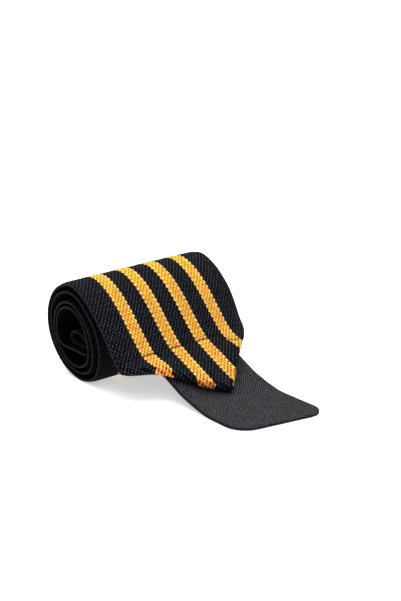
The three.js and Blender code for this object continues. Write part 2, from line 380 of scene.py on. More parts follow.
def relief(across, along):
    """How far the cloth's face stands out: its loops, its raised stripes and the seam's groove."""
    stripe = smoothstep(STRIPE_MARGIN, -STRIPE_MARGIN, from_stripe(across) - STRIPE_WIDTH / 2)
    height = LOOP_HEIGHT * (PLAIN_LOOP_SHARE + (1 - PLAIN_LOOP_SHARE) * stripe)
    loops = height * loop_wave(across, along) * (1 - FOLD_FLATTENS * near_fold(across, along))
    groove = SEAM_DEPTH * np.exp(-(((along - seam_line(across)) / SEAM_WIDTH) ** 2))
    return loops + STRIPE_RISE * stripe - groove


# %% [markdown]
# All the cloth is made the same way. Rings of points, one round each section, are joined row by row
# into a closed skin. Each point remembers its place on the flat cloth, in millimetres, and the material
# reads it from there, so a pattern follows the cloth round every bend without an unwrapped map.

# %% Helpers that make a piece from points
CLOTH_PLACE = "cloth_mm"


def make_piece(name, points, faces, cloth):
    """A smooth mesh in metres, from points in millimetres, each with its place on the flat cloth."""
    mesh = bpy.data.meshes.new(name)
    mesh.from_pydata((points * MM).tolist(), [], faces)
    layer = mesh.attributes.new(CLOTH_PLACE, "FLOAT_VECTOR", "POINT")
    layer.data.foreach_set("vector", cloth.reshape(-1).astype(np.float32))
    mesh.validate()
    mesh.shade_smooth()
    # All faces are turned so that they look outwards.
    work = bmesh.new()
    work.from_mesh(mesh)
    bmesh.ops.recalc_face_normals(work, faces=work.faces)
    work.to_mesh(mesh)
    work.free()
    print(name, "has", len(mesh.polygons), "faces")
    return new_object(name, mesh)


def ring_mesh(name, rings, cloth):
    """A closed skin from rings of points (rows, points, 3), upper face first and lower face after."""
    rows, count, _ = rings.shape
    row, col = np.meshgrid(np.arange(rows - 1) * count, np.arange(count), indexing="ij")
    following = (col + 1) % count
    corners = [row + col, row + following, row + count + following, row + count + col]
    walls = np.stack(corners, axis=-1).reshape(-1, 4)
    i = np.arange(count // 2 - 1)
    start = np.stack([i + 1, i, count - 1 - i, count - 2 - i], axis=-1)
    end = np.stack([i, i + 1, count - 2 - i, count - 1 - i], axis=-1) + (rows - 1) * count
    faces = np.vstack([walls, start, end])
    return make_piece(name, rings.reshape(-1, 3), faces.tolist(), cloth)


# %% [markdown]
# The band is one thick sheet: a section across it, with round selvedges, is carried along the route.
# Rows are close where the cloth is seen and far apart in the hidden turns, to keep the mesh light.

# %% The section across the band
STRIPE_STEP = 0.42
PLAIN_STEP = 0.95
SELVEDGE_INSET = 2.4
SELVEDGE_THINNING = 0.45
SELVEDGE_ROUND = 0.45
SELVEDGE_POINTS = 5


def across_columns():
    """Places across the band, closer together on the stripes."""
    edges = [-BAND_WIDTH / 2]
    for k in range(STRIPES):
        middle = (k - (STRIPES - 1) / 2) * STRIPE_SPACING
        reach = STRIPE_WIDTH / 2 + STRIPE_MARGIN
        edges += [middle - reach, middle + reach]
    edges.append(BAND_WIDTH / 2)
    columns = []
    for index, (low, high) in enumerate(zip(edges, edges[1:])):
        step = STRIPE_STEP if index % 2 else PLAIN_STEP
        columns.append(np.linspace(low, high, max(2, round((high - low) / step)), endpoint=False))
    return np.concatenate([*columns, [BAND_WIDTH / 2]])


def band_section():
    """The section's points: place across, half thickness with its sign, and which face it is on."""
    flat = across_columns()
    thin = 1 - SELVEDGE_THINNING * smoothstep(SELVEDGE_INSET, 0, BAND_WIDTH / 2 - np.abs(flat))
    half = thin * CLOTH_THICKNESS / 2
    turn = np.linspace(0, math.pi, SELVEDGE_POINTS + 2)[1:-1]
    bulge = SELVEDGE_ROUND * np.sin(turn)
    edge_half = half[-1] * np.cos(turn)
    across = np.concatenate([flat, BAND_WIDTH / 2 + bulge, flat[::-1], -BAND_WIDTH / 2 - bulge])
    offset = np.concatenate([half, edge_half, -half[::-1], -edge_half])
    upper, edge = np.ones(len(flat)), np.zeros(len(turn))
    return across, offset, np.concatenate([upper, edge, -upper, edge])


print("a section across the band has", len(band_section()[0]), "points")

# %% Build the band
HIDDEN_STEP = 3.0
TURN_STEP = 1.3
TAIL_STEP = LOOP_LENGTH / 6
# Lengths back from the point.
OUTER_TURN = 168
TAIL_SHOWS = 92


def band_rows():
    """Places along the band: far apart in the hidden turns, and six for each loop on the tail."""
    ends = (0, POINT_AT - OUTER_TURN, POINT_AT - TAIL_SHOWS, POINT_AT)
    steps = (HIDDEN_STEP, TURN_STEP, TAIL_STEP)
    rows = [
        np.linspace(start, end, round((end - start) / step), endpoint=False)
        for start, end, step in zip(ends, ends[1:], steps)
    ]
    return np.concatenate([*rows, [POINT_AT]])


def place_on_band(across, along, offset):
    """Folds the flat cloth's points and lays them along the route, offset from the cloth's middle."""
    flat = np.column_stack([across, along])
    lift = np.zeros(len(flat))
    normal = np.tile([0, 0, 1.0], (len(flat), 1))
    for fold in (NEAR_FOLD, FAR_FOLD):
        flat, lift, normal = bend_under(flat, lift, normal, fold)
    across, along = flat.T
    x, z, along_x, along_z = band_route.at(along)
    sideways, forward, rise = (normal * offset[:, None]).T
    rise = lift - edge_drop(along, across) + rise
    x = x - along_z * rise + along_x * forward
    z = z + along_x * rise + along_z * forward
    return settled(x, across + sideways, z)


def build_band():
    section = band_section()
    rows = band_rows()
    across, offset, side = (np.tile(column, len(rows)) for column in section)
    along = np.repeat(rows, len(section[0]))
    shown = smoothstep(POINT_AT - OUTER_TURN, POINT_AT - TAIL_SHOWS, along)
    offset = offset + side * shown * relief(across, along)
    shape = (len(rows), len(section[0]), 3)
    places = place_on_band(across, along, offset).reshape(shape)
    return ring_mesh("elastic_cloth", places, np.column_stack([across, along, side]).reshape(shape))


band = build_band()

# %% [markdown]
# The hook tab is a strip of hook tape: a stiff woven backing with rows of tiny plastic hooks. It is cut
# at a slant with round corners, sewn under the point, and comes down to the surface past the tip. The
# thumb loop is a strip too, so one helper lays both along their own routes.

# %% A helper that lays a strip along a route
def strip_mesh(name, route, across, flat_across, rows):
    """A strip from rows of (place along, height of the upper face, height of the lower face)."""
    rings, cloth = [], []
    for along, upper, lower in rows:
        x, z, along_x, along_z = route.at(along)
        ring, flat = [], []
        for side, rise in ((1, upper), (-1, lower)):
            ring.append(settled(x - along_z * rise, across, z + along_x * rise)[::side])
            flat.append(np.column_stack([flat_across, along, np.full(len(across), side)])[::side])
        rings.append(np.vstack(ring))
        cloth.append(np.vstack(flat))
    return ring_mesh(name, np.array(rings), np.array(cloth))


# %% The hook tab's route
TAB_UNDERLAP = 36
TAB_UNDER_POINTS = 7
TAB_BEYOND_POINT = 36.8
TAB_END_SKEW = 9.5
# Past the tip: a share of the tab's length there, and of the tip's lift.
TAB_ROWS = [(0.10, 0.55), (0.20, 0.16), (0.30, 0.00), (0.65, 0.00), (1.00, 0.00)]
TAB_MIDDLE = -(1.5 * BAND_THICKNESS + FOLD_GAP + TAB_CLEARANCE + TAB_THICKNESS / 2)


def tab_route():
    """Along the underside of the point, then down to the surface."""
    under = []
    for length in np.linspace(POINT_AT - TAB_UNDERLAP, POINT_AT, TAB_UNDER_POINTS):
        x, z, along_x, along_z = band_route.at(length)
        under.append((x - along_z * TAB_MIDDLE, z + along_x * TAB_MIDDLE))
    longest = TAB_BEYOND_POINT + TAB_END_SKEW / 2
    tip_x = under[-1][0]
    beyond = [(tip_x + along * longest, TAB_THICKNESS / 2 + up * TIP_LIFT) for along, up in TAB_ROWS]
    points = curve_through(under + beyond)
    points[:, 1] = np.maximum(points[:, 1], TAB_THICKNESS / 2)
    return Route(points)


tab_line = tab_route()
print(f"the hook tab is {tab_line.total:.0f} mm long")

# %% Build the hook tab
TAB_WIDTH = 45
TAB_CORNER_RADIUS = 9
TAB_CORNER_POINTS = 9
TAB_MIDDLE_POINTS = 40
TAB_STEP = 0.8
TAB_EDGE_ROUND = 0.35
TAB_EDGE_SHARE = 0.55


def build_tab():
    """The tab's columns end early at the corners, which rounds them, and its upper edges are worn."""
    half = TAB_WIDTH / 2
    straight = half - TAB_CORNER_RADIUS
    quarter = np.linspace(0, math.pi / 2, TAB_CORNER_POINTS)
    columns = np.concatenate([
        -half + TAB_CORNER_RADIUS * (1 - np.cos(quarter)),
        np.linspace(-straight, straight, TAB_MIDDLE_POINTS)[1:-1],
        half - TAB_CORNER_RADIUS * (1 - np.sin(quarter)),
    ])
    past = np.maximum(0, np.abs(columns) - straight)
    round_off = TAB_CORNER_RADIUS - np.sqrt(TAB_CORNER_RADIUS**2 - past**2)
    ends = tab_line.total - TAB_END_SKEW / 2 * (1 - columns / half) - round_off
    to_side = (half - np.abs(columns)) / TAB_EDGE_ROUND
    rows = []
    for share in np.linspace(0, 1, round(tab_line.total / TAB_STEP)):
        to_end = (1 - share) * ends / TAB_EDGE_ROUND
        inner = np.minimum(1, np.minimum(to_side, to_end))
        upper = TAB_THICKNESS / 2 * (TAB_EDGE_SHARE + (1 - TAB_EDGE_SHARE) * inner)
        rows.append((share * ends, upper, -TAB_THICKNESS / 2))
    return strip_mesh("hook_tape", tab_line, columns, columns, rows)


tab = build_tab()

# %% [markdown]
# The thumb loop is a short narrow strap, doubled back on itself and stitched to the band's inner end.
# It lies squashed in the hollow, so only its round end catches some light.

# %% Build the thumb loop
LOOP_STRAP_WIDTH = 10
LOOP_STRAP_THICKNESS = 1.4
LOOP_STRAP_ROWS = 90
LOOP_REACH = 14.5
LOOP_RISE = 6
LOOP_INSET = 2.5
LOOP_END_INSET = 1.5
LOOP_CLEARANCE = 0.3
# Round the loop: how far back into the hollow and how far up, as shares of its reach and its rise.
LOOP_ROWS = [
    (0.00, 0.00), (0.40, 0.00), (0.78, 0.05), (0.98, 0.34), (0.93, 0.74), (0.66, 1.00), (0.34, 0.88),
    (0.12, 0.55), (0.00, (LOOP_STRAP_THICKNESS + LOOP_CLEARANCE) / LOOP_RISE),
]
# The strap's section: a share of its width, and of its thickness there.
STRAP_SECTION = [
    (0.00, 0.45), (0.03, 0.85), (0.10, 1.00), (0.30, 1.00), (0.50, 1.00),
    (0.70, 1.00), (0.90, 1.00), (0.97, 0.85), (1.00, 0.45),
]


def loop_route():
    """From the band's inner end back into the hollow, over and home again."""
    start_x = INNER_END_ROWS[0][0] * CORE_RADIUS - LOOP_END_INSET
    seat = axis_height + INNER_END_ROWS[0][1] * CORE_RADIUS + BAND_THICKNESS / 2
    start_z = seat + LOOP_CLEARANCE + LOOP_STRAP_THICKNESS / 2
    points = [(start_x - back * LOOP_REACH, start_z + up * LOOP_RISE) for back, up in LOOP_ROWS]
    return Route(curve_through(points))


loop_line = loop_route()
strap_length = loop_line.total
print(f"the thumb loop's strap is {strap_length:.0f} mm long")


def build_loop():
    share, full = np.array(STRAP_SECTION).T
    flat_across = LOOP_STRAP_WIDTH * share
    across = -BAND_WIDTH / 2 + LOOP_INSET + flat_across
    half = full * LOOP_STRAP_THICKNESS / 2
    lengths = np.linspace(0, strap_length, LOOP_STRAP_ROWS)
    rows = [(np.full(len(share), along), half, -half) for along in lengths]
    return strip_mesh("thumb_strap", loop_line, across, flat_across, rows)


thumb_strap = build_loop()

# %% [markdown]
# Seams hold the wrap's parts together. A row of stitches crosses the band where the tab is sewn on, and
# the tip of the point is tacked down. A stitch is a short thread that rises out of the cloth and dips
# back in, so each is a small bent rod laid along its seam.

# %% A helper that lays stitches
THREAD = 0.46
STITCH_SIDES = 6
STITCH_STEPS = 6
# Shares of the thread's thickness: how far a stitch rises and sinks, and how thick its ends are.
STITCH_RISE = 0.55
STITCH_SINK = 0.2
STITCH_END = 0.55
# The rise is a half wave, less this share of it at each end.
STITCH_DIP = 0.08
# Millimetres of thread in a stitch, for its twist.
STITCH_THREAD = 3


def stitch_rings(start, end, up, thread):
    """The rings of points round one stitch, from its start to its end."""
    ahead = (end - start) / np.linalg.norm(end - start)
    beside = np.cross(ahead, up)
    turn = np.arange(STITCH_SIDES) / STITCH_SIDES * 2 * math.pi
    around = np.cos(turn)[:, None] * beside + np.sin(turn)[:, None] * up
    rings = []
    for share in np.linspace(0, 1, STITCH_STEPS + 1):
        swell = math.sin(math.pi * (STITCH_DIP + (1 - 2 * STITCH_DIP) * share))
        middle = start + (end - start) * share + up * thread * (STITCH_RISE * swell - STITCH_SINK)
        rings.append(middle + thread / 2 * (STITCH_END + (1 - STITCH_END) * swell) * around)
    return np.vstack(rings)


def stitches(name, lines, thread=THREAD):
    """Bent rods of thread, one for each (start, end, up) in millimetres."""
    shares = np.repeat(np.linspace(0, 1, STITCH_STEPS + 1), STITCH_SIDES)
    points, faces = [], []
    for start, end, up in lines:
        base = len(points) * len(shares)
        points.append(stitch_rings(start, end, up, thread))
        last = base + STITCH_STEPS * STITCH_SIDES
        for ring in range(base, last, STITCH_SIDES):
            for i in range(STITCH_SIDES):
                a = ring + i
                b = ring + (i + 1) % STITCH_SIDES
                faces.append((a, b, b + STITCH_SIDES, a + STITCH_SIDES))
        faces.append(tuple(reversed(range(base, base + STITCH_SIDES))))
        faces.append(tuple(range(last, last + STITCH_SIDES)))
    cloth = np.outer(np.tile(shares, len(lines)), (STITCH_THREAD, 0, 0))
    return make_piece(name, np.vstack(points), faces, cloth)


def on_band(across, along, rise):
    """A point above the tail's middle layer, in millimetres."""
    return place_on_band(np.array([across]), np.array([along]), np.array([rise]))[0]


def stitch_between(start, end, over, rise):
    """A stitch's two ends, at a rise from the cloth's middle, and the way up over a place."""
    up = on_band(*over, rise + 1) - on_band(*over, rise)
    return on_band(*start, rise), on_band(*end, rise), up / np.linalg.norm(up)


# %% Sew the cross seam
STITCH_LENGTH = 2.4
STITCH_GAP = 0.3
STITCH_SEAT = 0.62
SEAM_NEAR_MARGIN = 7
SEAM_FAR_MARGIN = 9


def seam_stitches():
    """A row of stitches along the seam line, from edge to edge."""
    lines = []
    across = -BAND_WIDTH / 2 + SEAM_NEAR_MARGIN
    while across < BAND_WIDTH / 2 - SEAM_FAR_MARGIN:
        after = across + STITCH_LENGTH
        start, end, over = ((v, seam_line(v)) for v in (across, after, (across + after) / 2))
        lines.append(stitch_between(start, end, over, STITCH_SEAT))
        across = after + STITCH_GAP
    return stitches("seam_stitches", lines)


seam_thread = seam_stitches()

# %% Tack the tip
TACK_THREAD = 0.6
TACK_INSET = 1.3
TACK_LENGTH = 0.8
TACK_SEAT = 0.9
# Lengths back from the tip along each fold.
TACKS = ((NEAR_FOLD, 8.5), (FAR_FOLD, 2.0))


def tip_threads():
    """The two ends of the thread that tacks the tip down. They stand out a little at its corners."""
    lines = []
    for fold, back in TACKS:
        outward = fold["outward"]
        along_fold = fold["side"] * np.array([outward[1], -outward[0]])
        start = TIP + along_fold * back - outward * TACK_INSET
        lines.append(stitch_between(start, start + outward * TACK_LENGTH, start, TACK_SEAT))
    return stitches("tip_threads", lines, TACK_THREAD)


tip_thread = tip_threads()

# %% [markdown]
# Materials start with one helper that adds a node. Its settings are given by name. Its inputs are
# values or other nodes, by name or in the order in which the node shows them. A range, for example,
# takes a value, the two ends it comes from and the two it goes to.

# %% Helpers for the materials


def add_node(tree, kind, inputs=(), **settings):
    """Adds a shader node, makes its settings, and sets or links its inputs."""
    node = tree.nodes.new("ShaderNode" + kind)
    for key, value in settings.items():
        setattr(node, key, value)
    if not isinstance(inputs, dict):
        in_use = [i for i, socket in enumerate(node.inputs) if socket.enabled]
        inputs = dict(zip(in_use, inputs))
    for key, value in inputs.items():
        if isinstance(value, bpy.types.Node):
            value = next(output for output in value.outputs if output.enabled)
        if isinstance(value, bpy.types.NodeSocket):
            tree.links.new(value, node.inputs[key])
        else:
            node.inputs[key].default_value = value
    return node


def empty_tree(owner):
    """Empties a material or world, and gives back the function that adds a node to it."""
    owner.use_nodes = True
    owner.node_tree.nodes.clear()
    return partial(add_node, owner.node_tree)


def cloth_material(name):
    """A new material, the function that adds a node to it, and the places on the flat cloth."""
    material = bpy.data.materials.new(name)
    add = empty_tree(material)
    return material, add, add("Attribute", attribute_name=CLOTH_PLACE).outputs["Vector"]


def finish_material(material, add, surface):
    """Adds the shader with the surface's inputs, and the output."""
    add("OutputMaterial", {"Surface": add("BsdfPrincipled", surface)})
    print(material.name, "has", len(material.node_tree.nodes), "nodes")
    return material


def set_stops(ramp, stops):
    """Gives a colour ramp its stops, rows of (place, hex colour)."""
    elements = ramp.color_ramp.elements
    first, *between, last = [(place, linear(colour)) for place, colour in stops]
    elements[0].position, elements[0].color = first
    elements[1].position, elements[1].color = last
    for place, colour in between:
        elements.new(place).color = colour


def line_mask(add, value, middle, reach, core=0.1, most=1.0):
    """A line where a value is near its middle: most within the core, and 0 beyond the reach."""
    away = add("Math", [value, middle], operation="SUBTRACT")
    away = add("Math", [away], operation="ABSOLUTE")
    return add("MapRange", [away, reach, core, 0, most])


# %% [markdown]
# The elastic is polyester yarn knitted round rubber threads. Polyester has an IOR of about 1.55, and
# its matt yarn scatters light, so roughness is high and a little sheen stands for the fuzz. The colours
# come from the same waves as the relief. An image of knit would be quicker, but blurs close up.

# %% Elastic: the waves of the knit
LOOP_SLANT = 0.14
LOOP_SPLIT = 0.32


def knit_waves(add, across, along):
    """Waves along and across. The holes are 1 between the loops and about -1 on them."""
    places = {"along": (along, 2 * math.pi / LOOP_LENGTH), "across": (across, math.pi / LOOP_WIDTH)}
    turns, waves = {}, {}
    for way, (place, per_mm) in places.items():
        turns[way] = add("Math", [place, per_mm], operation="MULTIPLY")
        twice = add("Math", [turns[way], 2.0], operation="MULTIPLY")
        waves[way] = add("Math", [turns[way]], operation="COSINE")
        waves["twice_" + way] = add("Math", [twice], operation="COSINE")
    # The yarn leans to one side in every loop, and each loop is split into its two legs.
    slant = add("Math", [turns["along"], turns["across"]], operation="ADD")
    slant = add("Math", [slant], operation="COSINE")
    legs = add("Math", [waves["twice_along"], waves["across"]], operation="MULTIPLY")
    holes = add("Math", [waves["along"], waves["across"]], operation="MULTIPLY")
    holes = add("Mix", [LOOP_SLANT, holes, slant], data_type="FLOAT")
    waves["holes"] = add("Math", [legs, LOOP_SPLIT, holes], operation="MULTIPLY_ADD")
    waves["beads"] = add("Math", [waves["twice_along"], waves["twice_across"]], operation="MULTIPLY")
    return waves


# %% [markdown]
# A stripe isn't printed. Its orange yarn is knitted in, so its edge steps in and out with the loops. The
# outermost orange loops lie high and get a painted highlight, and the ground sinks to a dark groove beside
# them.

# %% Elastic: where the stripes are
SCALLOP = 0.28
STRIPE_BLUR = 0.12
GROOVE_OUTSIDE = 0.1
GROOVE_REACH = 0.45
RIM_INSIDE = 0.55
RIM_REACH = 0.55


def stripe_masks(add, across, wave_along):
    """Masks of the stripes, of the grooves beside them and of the painted highlight on their rims' loops.
    """
    moved = add("Math", [across, STRIPE_SPACING / 2], operation="SUBTRACT")
    away = add("Math", [moved, STRIPE_SPACING / 2], operation="PINGPONG")
    outside = add("Math", [across], operation="ABSOLUTE")
    plain = add("Math", [outside, STRIPED_HALF], operation="GREATER_THAN")
    away = add("Math", [plain, STRIPE_SPACING, away], operation="MULTIPLY_ADD")
    scallop = add("Math", [wave_along, SCALLOP, away], operation="MULTIPLY_ADD")
    half = STRIPE_WIDTH / 2
    stripe = add("MapRange", [scallop, half + STRIPE_BLUR, half - STRIPE_BLUR])
    groove = line_mask(add, scallop, half + GROOVE_OUTSIDE, GROOVE_REACH)
    # Painted highlight: the outermost orange loops along each stripe's rim are painted pale.
    rim_highlight = line_mask(add, away, half - RIM_INSIDE, RIM_REACH)
    crest = add("MapRange", [wave_along, 0.2, -0.8])
    return stripe, groove, add("Math", [rim_highlight, crest], operation="MULTIPLY")


# %% [markdown]
# Folding stretches the cloth round the outside of the bend. The holes open there, and light reaches the
# deeper, redder side of the orange yarn. The seam's needle draws the cloth in, which shades it.

# %% Elastic: what the folds and the seam do
# Lengths back from a fold's line: where the holes start to open and where they are open.
STRETCH_STARTS = 6.5
STRETCHED_AT = 4.0
# The same for the red, and how strong it is on each fold.
RED_STARTS = 2.4
RED_AT = 0.4
REDNESS = ((NEAR_FOLD, 0.85), (FAR_FOLD, 0.35))
SEAM_SHADE = 0.5
SEAM_SHADE_REACH = 0.75
SEAM_SHADE_CORE = 0.2


def fold_masks(add, cloth):
    """How far the folds stretch the cloth, and how far they redden it."""
    stretches, reds = [], []
    for fold, redness in REDNESS:
        reach = float(fold["outward"] @ TIP)
        towards = add("VectorMath", [cloth, (*fold["outward"], 0)], operation="DOT_PRODUCT")
        stretches.append(add("MapRange", [towards, reach - STRETCH_STARTS, reach - STRETCHED_AT]))
        reds.append(add("MapRange", [towards, reach - RED_STARTS, reach - RED_AT, 0, redness]))
    return [add("Math", masks, operation="MAXIMUM") for masks in (stretches, reds)]


def seam_mask(add, across, along):
    """A line along the seam, which runs askew as the stitches do."""
    ends = (POINT_AT - SEAM_BACK, POINT_AT - SEAM_BACK + SEAM_ASKEW)
    askew = add("MapRange", [across, *SEAM_TURNS, *ends], interpolation_type="SMOOTHSTEP")
    return line_mask(add, along, askew, SEAM_SHADE_REACH, SEAM_SHADE_CORE, SEAM_SHADE)


# %% [markdown]
# The orange yarn runs from deep brown in the holes to pale yellow where the loops shine. A fine noise
# breaks up each loop as the yarn's filaments do. Real filaments are about 0.02 mm thick, far too fine
# to show here, so the noise is drawn as coarse as half a millimetre.

# %% Elastic: the orange yarn
ORANGE_YARN = [(0.06, "#5a2804"), (0.24, "#cc7a14"), (0.55, "#e8a02c"), (1.00, "#fcd668")]
ORANGE_RIM_HIGHLIGHT = linear("#ffe6a8")
# The colour of the painted highlight on the stripes' rims.
ORANGE_FOLD = linear("#e0501c")
ORANGE_SHADOW = linear("#2c0e02")
SPECK_SIZE = 0.5
ORANGE_SPECKS = 2.0
HOLES_OPEN = -0.32


def orange_yarn(add, holes, fine, rim_highlight, stretched, reddened, seam):
    """The stripes' colour, from the holes, the noise and the masks."""
    level = add("MapRange", [holes, 1.1, -0.4, 0.10, 0.84])
    specks = add("Math", [fine, 0.5], operation="SUBTRACT")
    level = add("Math", [specks, ORANGE_SPECKS, level], operation="MULTIPLY_ADD")
    opened = add("Math", [holes, stretched], operation="MULTIPLY")
    level = add("Math", [opened, HOLES_OPEN, level], operation="MULTIPLY_ADD")
    orange = add("ValToRGB", [level])
    set_stops(orange, ORANGE_YARN)
    # The red shows on the sides of the loops more than on their bright tops.
    sides = add("MapRange", [level, 1.0, 0.55, 0.3])
    red = add("Math", [reddened, sides], operation="MULTIPLY")
    gaping = add("MapRange", [holes, 0.45, 0.75, 0, 0.95])
    gaping = add("Math", [gaping, stretched], operation="MULTIPLY")
    dark = add("Math", [seam, gaping], operation="MAXIMUM")
    for mask, colour in ((rim_highlight, ORANGE_RIM_HIGHLIGHT), (red, ORANGE_FOLD), (dark, ORANGE_SHADOW)):
        orange = add("Mix", [mask, orange, colour], data_type="RGBA")
    return orange


# %% [markdown]
# The black ground is the same knit, but it shows only as small grey specks, where the tops of the loops
# catch a little light. The selvedge along each edge is a plain border of tighter yarn with a painted
# highlight.

# %% Elastic: the black ground and the selvedge
BLACK_YARN = [(0.36, "#000001"), (0.57, "#020205"), (0.84, "#5b5d69")]
# The painted highlight along the selvedges' round edges.
SELVEDGE_HIGHLIGHT = linear("#292a30")
GROUND_HOLES = -0.16
GROUND_BEADS = 0.15


def black_yarn(add, knit, fine, side):
    """The ground's colour, its level for the bump, and a mask of the selvedges' painted highlight."""
    level = add("Math", [knit["holes"], GROUND_HOLES, fine], operation="MULTIPLY_ADD")
    level = add("Math", [knit["beads"], GROUND_BEADS, level], operation="MULTIPLY_ADD")
    black = add("ValToRGB", [level])
    set_stops(black, BLACK_YARN)
    # The cloth's side is 1 on its outer face, -1 on its inner one and 0 on its edges.
    to_edge = add("Math", [side], operation="ABSOLUTE")
    # Painted highlight: the selvedges are painted lighter grey, beaded with the loops.
    selvedge_highlight = add("MapRange", [to_edge, 0.55, 0.15])
    bead = add("MapRange", [knit["twice_along"], -1.0, 1.0, 0.4, 1.0])
    selvedge_highlight = add("Math", [selvedge_highlight, bead], operation="MULTIPLY")
    return add("Mix", [selvedge_highlight, black, SELVEDGE_HIGHLIGHT], data_type="RGBA"), level, selvedge_highlight


# %% [markdown]
# No dyed cloth is one colour all over. Slow patches of noise shift its shade and hue, and a painted
# highlight makes the stripes yellower from the top of the roll back. On the inner face and between the
# turns the loops shade each other, which a bump can't do, so the cloth is drawn darker there as painted
# shade.

# %% Elastic: changes of shade and hue
# Painted shade on the inner face: the share of the colour, and of the stripes, that is kept there.
INNER_FACE = 0.12
# Lengths back from the point: the stripes turn yellower between the first two, a painted highlight for
# the top light. The roll's bottom is at the third, and past the fourth the band lies between the turns.
TOP_LIGHT_STARTS = 52
TOP_LIGHT_ENDS = 78
ROLL_BOTTOM = 146
SHELTERED_FROM = 160
SHELTERED = 0.35
TOP_LIGHT_HUE = 0.016


def varied(add, colour, slow, along, side, selvedge_highlight):
    """The colour with its slow changes of shade and hue."""
    shade = add("MapRange", [slow, 0.3, 0.7, 0.9, 1.06])
    inner = add("MapRange", [side, -0.7, -0.3, INNER_FACE, 1.0])
    shade = add("Math", [shade, inner], operation="MULTIPLY")
    sheltered = add("MapRange", [along, POINT_AT - SHELTERED_FROM, POINT_AT - ROLL_BOTTOM, SHELTERED])
    # The selvedges' painted highlight is kept out of the painted shade between the turns.
    sheltered = add("Math", [sheltered, selvedge_highlight], operation="MAXIMUM")
    shade = add("Math", [shade, sheltered], operation="MULTIPLY")
    hue = add("MapRange", [slow, 0.35, 0.65, 0.487, 0.504])
    # Painted highlight: from the top of the roll back, the stripes' hue is turned yellower.
    top_light_hue = add("MapRange", [along, POINT_AT - TOP_LIGHT_STARTS, POINT_AT - TOP_LIGHT_ENDS, 0, TOP_LIGHT_HUE])
    hue = add("Math", [hue, top_light_hue], operation="ADD")
    return add("HueSaturation", {"Hue": hue, "Value": shade, "Color": colour})


# %% [markdown]
# The material puts these together, with a bump for the relief that is too fine for the mesh.

# %% Elastic: the material
PATCHES_PER_MM = 0.35
GROOVE_COLOUR = linear("#1c0a06")
GROOVE_SHADE = 0.8
# Heights in millimetres.
LOOP_BUMP = -0.16
GROUND_BUMP = 0.16
SPECK_BUMP = 0.10
GROOVE_BUMP = -0.18


def elastic_material():
    material, add, cloth = cloth_material("Knitted polyester elastic, black with orange stripes")
    across, along, side = add("SeparateXYZ", [cloth]).outputs
    slow = add("TexNoise", {"Vector": cloth, "Scale": PATCHES_PER_MM, "Detail": 2.0})
    fine = add("TexNoise", {"Vector": cloth, "Scale": 1 / SPECK_SIZE, "Detail": 3.0})
    knit = knit_waves(add, across, along)
    stripe, groove, rim_highlight = stripe_masks(add, across, knit["along"])
    folds = fold_masks(add, cloth)
    orange = orange_yarn(add, knit["holes"], fine, rim_highlight, *folds, seam_mask(add, across, along))
    black, black_level, selvedge_highlight = black_yarn(add, knit, fine, side)

    # Painted shade: the stripes are mostly mixed away on the inner face, so the inside of the roll stays
    # dark.
    outer = add("MapRange", [side, -0.2, 0.2, INNER_FACE])
    stripe = add("Math", [stripe, outer], operation="MULTIPLY")
    colour = add("Mix", [stripe, black, orange], data_type="RGBA")
    dark = add("Math", [groove, GROOVE_SHADE], operation="MULTIPLY")
    colour = add("Mix", [dark, colour, GROOVE_COLOUR], data_type="RGBA")
    colour = varied(add, colour, slow, along, side, selvedge_highlight)

    loops = add("Math", [knit["holes"], LOOP_BUMP], operation="MULTIPLY")
    ground = add("Math", [black_level, GROUND_BUMP], operation="MULTIPLY")
    height = add("Mix", [stripe, ground, loops], data_type="FLOAT")
    height = add("Math", [fine, SPECK_BUMP, height], operation="MULTIPLY_ADD")
    height = add("Math", [groove, GROOVE_BUMP, height], operation="MULTIPLY_ADD")
    bump = add("Bump", {"Strength": 1.0, "Distance": MM, "Height": height})
    rough = add("MapRange", [fine, 0, 1, 0.72, 0.92])
    return finish_material(material, add, {
        "Base Color": colour, "Roughness": rough, "Normal": bump, "IOR": 1.55,
        "Specular IOR Level": 0.04, "Sheen Weight": 0.006, "Sheen Roughness": 0.5})


# It gives the eye a dry, dense cloth: grainy black, with orange stripes that look hard-wearing.
band.data.materials.append(elastic_material())

# %% [markdown]
# Hook tape is woven nylon, with an IOR of about 1.53. Its back has fine slanting ribs about a
# millimetre apart, dyed a dark grey that is lighter than the elastic, and a thin dark edge of painted
# shade where it was cut with heat. Its threads are finer than a pixel, so the noise between the ribs is
# drawn at 0.6 mm.

# %% Hook tape: the material
TAPE_YARN = [(0.25, "#050506"), (0.52, "#17171a"), (0.80, "#53535b")]
TAPE_EDGE_SHADE = linear("#08080a")
TAPE_RIB = 1.05
# The ribs and the cross threads: waves across and along in a rib's width, and how strong they are.
TAPE_WAVES = [(0.8, 0.6, 0.17), (-0.5, 1.1, 0.13)]
TAPE_SPECKS_PER_MM = 1.6
TAPE_PATCHES_PER_MM = 0.15
# In from the edge: where the painted edge shade starts and where it is full.
EDGE_SHADE_STARTS = 0.9
EDGE_SHADE_FULL = 0.3
TAPE_BUMP = 0.22


